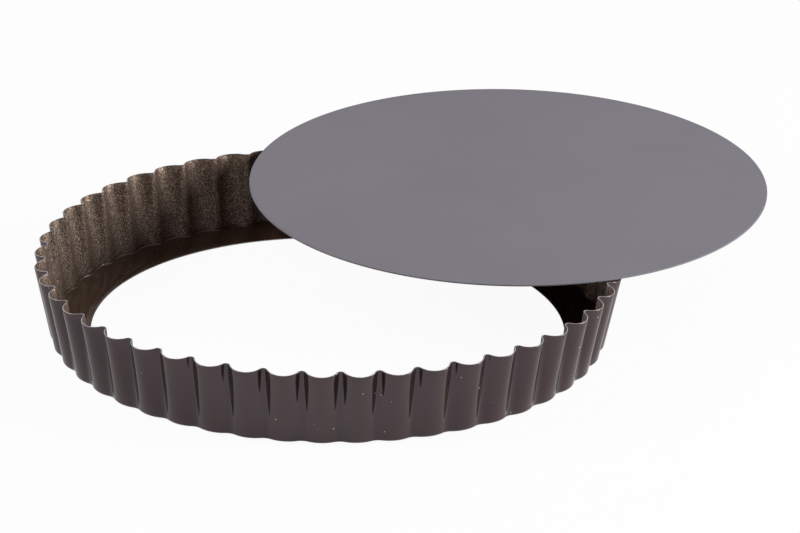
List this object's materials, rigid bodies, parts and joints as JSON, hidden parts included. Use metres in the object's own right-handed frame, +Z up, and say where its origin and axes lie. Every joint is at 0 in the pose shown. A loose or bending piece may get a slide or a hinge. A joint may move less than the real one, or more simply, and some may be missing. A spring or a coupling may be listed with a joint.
{
  "type": "fluted tart pan",
  "caption": "Round tart pan with a flared, fluted side, a flat in-turned flange at its foot and a loose flat base disc that lies across the rim.",
  "frame": {"origin": "under the middle of the pan's box at rest, on the surface that the ring stands on", "axes": "+Z up along the ring's axis, +X from the ring's axis towards the middle of the base, as it lies across the rim"},
  "size_m": [0.3514, 0.2498, 0.0351],
  "materials": {
    "ring_coating": "dark brown non-stick coating on steel sheet, glossy outside and speckled inside",
    "base_coating": "smooth satin grey non-stick coating on steel sheet"
  },
  "bodies": {
    "ring": {"fluted_ring": "ring_coating"},
    "base": {"loose_base": "base_coating"}
  },
  "joints": [
    {"name": "base_lift", "type": "slide", "parent": "ring", "child": "base", "axis": [0, 0, 1], "range_m": [0, 0.08]}
  ]
}
